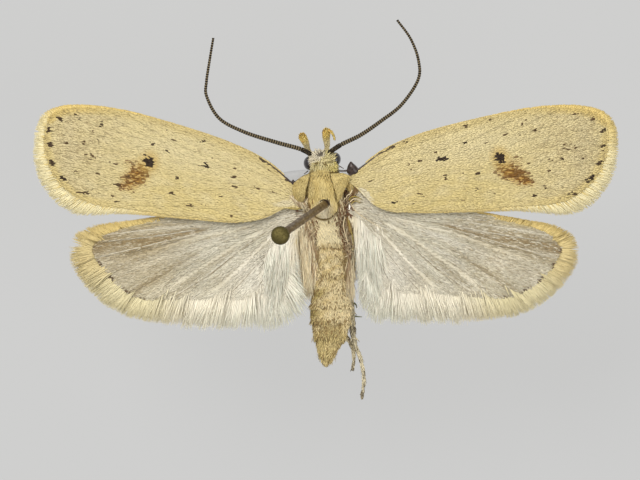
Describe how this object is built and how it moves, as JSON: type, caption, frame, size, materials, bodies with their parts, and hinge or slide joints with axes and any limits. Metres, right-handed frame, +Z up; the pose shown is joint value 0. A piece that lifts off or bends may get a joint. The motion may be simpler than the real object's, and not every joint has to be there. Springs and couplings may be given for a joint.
{
  "type": "pinned moth specimen",
  "caption": "Spread flat-bodied moth with straw-coloured forewings and pale fringed hindwings, held life size on an insect pin in a small oval foot.",
  "frame": {"origin": "centre of the oval foot's flat underside", "axes": "+X towards the moth's right wing tip, +Y towards its head, +Z up through its back"},
  "size_m": [0.021, 0.0137, 0.0223],
  "materials": {
    "head_scales": "rough straw-coloured scales",
    "body_scales": "rough straw-coloured scales",
    "abdomen_scales": "rough cream and brown scales",
    "forewing_scales": "fine overlapping straw-yellow scales with brown and black spots",
    "hindwing_scales": "satin grey-cream scales with a silky fringe",
    "leg_scales": "smooth cream scales",
    "feeler": "dark brown ringed with pale scales",
    "horn": "glossy dark brown cuticle",
    "eye": "glossy grey-black facets",
    "pin_steel": "drawn steel wire",
    "pin_brass": "dull brass",
    "base_stone": "honed pale grey stone"
  },
  "bodies": {
    "root": {"head": "head_scales", "eye_left": "eye", "eye_right": "eye", "antenna_left": "feeler", "antenna_right": "feeler", "palp_left": "head_scales", "palp_right": "head_scales", "collar": "body_scales", "thorax": "body_scales", "tegula_left": "body_scales", "tegula_right": "body_scales", "wing_hinge_left": "horn", "wing_hinge_right": "horn", "metathorax": "body_scales", "abdomen": "abdomen_scales", "forewing_left": "forewing_scales", "forewing_right": "forewing_scales", "hindwing_left": "hindwing_scales", "hindwing_right": "hindwing_scales", "foreleg_left": "leg_scales", "foreleg_right": "leg_scales", "midleg_left": "leg_scales", "midleg_right": "leg_scales", "hindleg_left": "leg_scales", "hindleg_right": "leg_scales", "pin_shaft": "pin_steel", "pin_head": "pin_brass", "stand_base": "base_stone"}
  },
  "joints": []
}
